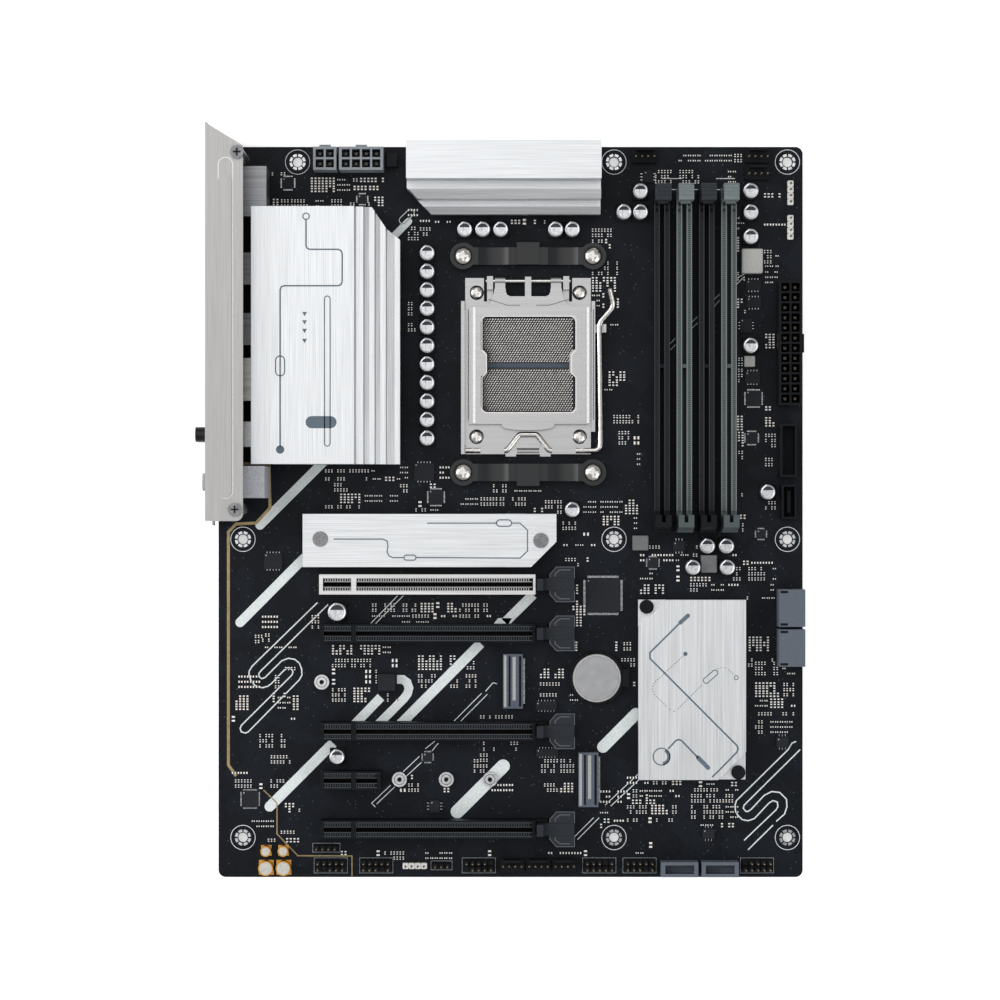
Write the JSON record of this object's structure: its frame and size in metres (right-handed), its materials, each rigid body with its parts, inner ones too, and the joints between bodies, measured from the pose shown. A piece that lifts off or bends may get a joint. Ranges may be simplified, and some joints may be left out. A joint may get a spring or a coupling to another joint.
{
  "type": "computer motherboard",
  "caption": "Full-size desktop motherboard with processor socket, memory and card slots, heatsinks, port panel and headers.",
  "frame": {"origin": "underside of the board on the axis of the mounting hole between the port panel and the card slots", "axes": "+Z out of the component side, +X from the port edge to the front edge, +Y along the port edge towards the processor end"},
  "size_m": [0.2517, 0.3106, 0.0463],
  "materials": {
    "solder_mask": "satin solder mask over glass laminate, very dark blue-grey",
    "panel_steel": "plated sheet, fine satin",
    "port_steel": "tin-plated stamped shell, satin",
    "armour_steel": "stamped stainless sheet, satin",
    "screw_steel": "bright nickel plating",
    "black_metal": "black plating",
    "load_steel": "stainless sheet, fine satin grain",
    "lever_nickel": "bright drawn wire",
    "brushed_aluminium": "long-grain brushed, clear anodised",
    "black_plastic": "moulded, fine texture",
    "grey_plastic": "moulded, fine texture",
    "slate_plastic": "moulded, satin",
    "socket_resin": "moulded, satin",
    "gold_contacts": "gold-plated, bright",
    "gold_can": "anodised can, satin",
    "capacitor_can": "drawn can, satin",
    "ferrite": "pressed powder, matte",
    "chip_epoxy": "moulded, fine grain",
    "thermal_pad": "soft, matte",
    "cell_steel": "stainless, satin",
    "tin_solder": "soft bright"
  },
  "bodies": {
    "board": {"pcb": "solder_mask", "io_shield": "panel_steel", "io_cover": "panel_steel", "display_port_stack": "port_steel", "usb_port_stacks": "port_steel", "lan_usb_stack": "port_steel", "wifi_module": "port_steel", "antenna_jacks": "black_metal", "audio_jacks": "port_steel", "rear_button_switch": "grey_plastic", "port_tongues": "black_plastic", "vrm_heatsink_left": "brushed_aluminium", "vrm_heatsink_top": "brushed_aluminium", "m3_screws": "screw_steel", "thermal_pads": "thermal_pad", "vrm_chokes": "ferrite", "vrm_power_stages": "chip_epoxy", "polymer_capacitors": "capacitor_can", "audio_capacitors": "gold_can", "power_inductors": "ferrite", "cpu_socket_body": "socket_resin", "cpu_contacts": "gold_contacts", "socket_frame": "load_steel", "hinge_wire": "lever_nickel", "socket_screws": "screw_steel", "socket_backplate": "black_metal", "cooler_brackets": "black_plastic", "cooler_screws": "screw_steel", "dimm_slots": "black_plastic", "pcie_slots": "black_plastic", "pcie_slot_armour": "armour_steel", "m2_sockets": "black_plastic", "threaded_standoffs": "screw_steel", "chipset_heatsink": "brushed_aluminium", "chipset_push_pins": "black_plastic", "integrated_circuits": "chip_epoxy", "atx_power_socket": "black_plastic", "cpu_power_sockets": "slate_plastic", "power_pins": "gold_contacts", "fan_headers": "black_plastic", "pin_headers": "black_plastic", "front_usb_headers": "black_plastic", "sata_ports": "slate_plastic", "battery_holder": "black_plastic", "solder_tails": "tin_solder"},
    "load_lever": {"load_lever": "lever_nickel"},
    "load_plate": {"load_plate": "load_steel"},
    "dimm_latch_1": {"dimm_latch_1": "black_plastic"},
    "dimm_latch_2": {"dimm_latch_2": "grey_plastic"},
    "dimm_latch_3": {"dimm_latch_3": "black_plastic"},
    "dimm_latch_4": {"dimm_latch_4": "grey_plastic"},
    "pcie_clip_1": {"pcie_clip_1": "black_plastic"},
    "pcie_clip_2": {"pcie_clip_2": "black_plastic"},
    "pcie_clip_3": {"pcie_clip_3": "black_plastic"},
    "pcie_clip_4": {"pcie_clip_4": "black_plastic"},
    "coin_cell": {"coin_cell": "cell_steel"},
    "drive_cover": {"m2_heatsink": "brushed_aluminium", "m2_heatsink_screws": "screw_steel", "m2_thermal_pad": "thermal_pad"},
    "rear_button": {"rear_button": "black_plastic"}
  },
  "joints": [
    {"name": "lever_hinge", "type": "hinge", "parent": "board", "child": "load_lever", "pos_m": [0.11904, 0.03703, 0.0042], "axis": [1, 0, 0], "range_deg": [0, 115]},
    {"name": "load_plate_hinge", "type": "hinge", "parent": "board", "child": "load_plate", "pos_m": [0.11904, 0.10763, 0.005], "axis": [-1, 0, 0], "range_deg": [0, 105]},
    {"name": "dimm_latch_1_hinge", "type": "hinge", "parent": "board", "child": "dimm_latch_1", "pos_m": [0.17454, 0.14303, 0.0052], "axis": [-1, 0, 0], "range_deg": [0, 25]},
    {"name": "dimm_latch_2_hinge", "type": "hinge", "parent": "board", "child": "dimm_latch_2", "pos_m": [0.18381, 0.14303, 0.0052], "axis": [-1, 0, 0], "range_deg": [0, 25]},
    {"name": "dimm_latch_3_hinge", "type": "hinge", "parent": "board", "child": "dimm_latch_3", "pos_m": [0.19308, 0.14303, 0.0052], "axis": [-1, 0, 0], "range_deg": [0, 25]},
    {"name": "dimm_latch_4_hinge", "type": "hinge", "parent": "board", "child": "dimm_latch_4", "pos_m": [0.20235, 0.14303, 0.0052], "axis": [-1, 0, 0], "range_deg": [0, 25]},
    {"name": "pcie_clip_1_hinge", "type": "hinge", "parent": "board", "child": "pcie_clip_1", "pos_m": [0.12464, -0.01857, 0.0048], "axis": [0, 1, 0], "range_deg": [0, 18]},
    {"name": "pcie_clip_2_hinge", "type": "hinge", "parent": "board", "child": "pcie_clip_2", "pos_m": [0.12464, -0.03889, 0.0048], "axis": [0, 1, 0], "range_deg": [0, 18]},
    {"name": "pcie_clip_3_hinge", "type": "hinge", "parent": "board", "child": "pcie_clip_3", "pos_m": [0.12464, -0.07953, 0.0048], "axis": [0, 1, 0], "range_deg": [0, 18]},
    {"name": "pcie_clip_4_hinge", "type": "hinge", "parent": "board", "child": "pcie_clip_4", "pos_m": [0.12464, -0.12017, 0.0048], "axis": [0, 1, 0], "range_deg": [0, 18]},
    {"name": "coin_cell_lift", "type": "slide", "parent": "board", "child": "coin_cell", "axis": [0, 0, 1], "range_m": [0, 0.012]},
    {"name": "drive_cover_lift", "type": "slide", "parent": "board", "child": "drive_cover", "axis": [0, 0, 1], "range_m": [0, 0.02]},
    {"name": "rear_button_press", "type": "slide", "parent": "board", "child": "rear_button", "axis": [1, 0, 0], "range_m": [0, 0.0008], "stiffness_N_per_m": 300, "springref_m": -0.0005}
  ]
}
